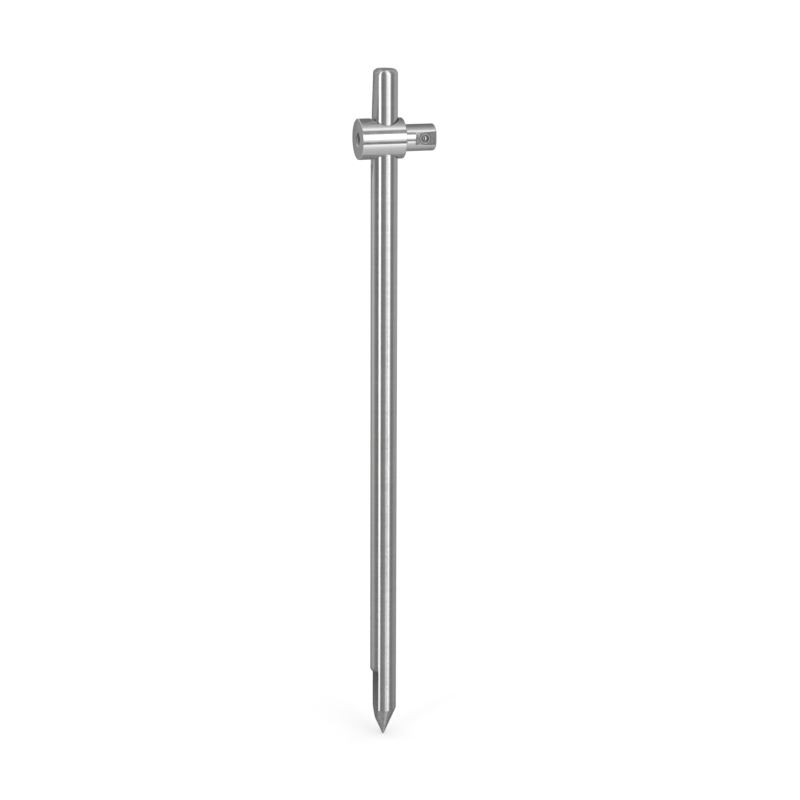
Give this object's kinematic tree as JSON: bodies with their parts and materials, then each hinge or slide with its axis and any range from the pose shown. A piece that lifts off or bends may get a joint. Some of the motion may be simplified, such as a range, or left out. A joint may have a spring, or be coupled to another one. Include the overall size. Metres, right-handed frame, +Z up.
{
  "type": "pointed ground bar with cross head",
  "caption": "Pointed round steel bar with a sliding cross head held by a set screw; the head's spigot has a flat with a sprung ball detent.",
  "frame": {"origin": "end of the bar's point, on the bar's axis", "axes": "+Z up along the bar from its point, +X along the cross head towards the free end of its spigot, the spigot's flat and detent face -Y"},
  "size_m": [0.0463, 0.0242, 0.413],
  "materials": {
    "bar_steel": "turned and lightly brushed stainless steel",
    "head_steel": "fine-turned stainless steel",
    "screw_steel": "stainless set screw",
    "sleeve_steel": "turned stainless sleeve",
    "spring_steel": "bright spring wire",
    "ball_steel": "polished hardened ball"
  },
  "bodies": {
    "bar": {"bar": "bar_steel"},
    "head": {"cross_head": "head_steel", "detent_sleeve": "sleeve_steel", "detent_spring": "spring_steel"},
    "screw": {"clamp_screw": "screw_steel"},
    "ball": {"detent_ball": "ball_steel"}
  },
  "joints": [
    {"name": "head_slide", "type": "slide", "parent": "bar", "child": "head", "axis": [0, 0, 1], "range_m": [-0.342, 0.0289]},
    {"name": "screw_travel", "type": "slide", "parent": "head", "child": "screw", "axis": [1, 0, 0], "range_m": [0, 0.0011]},
    {"name": "ball_press", "type": "slide", "parent": "head", "child": "ball", "axis": [0, 1, 0], "range_m": [0, 0.0009], "stiffness_N_per_m": 2000, "deforming": ["detent_spring"]}
  ]
}
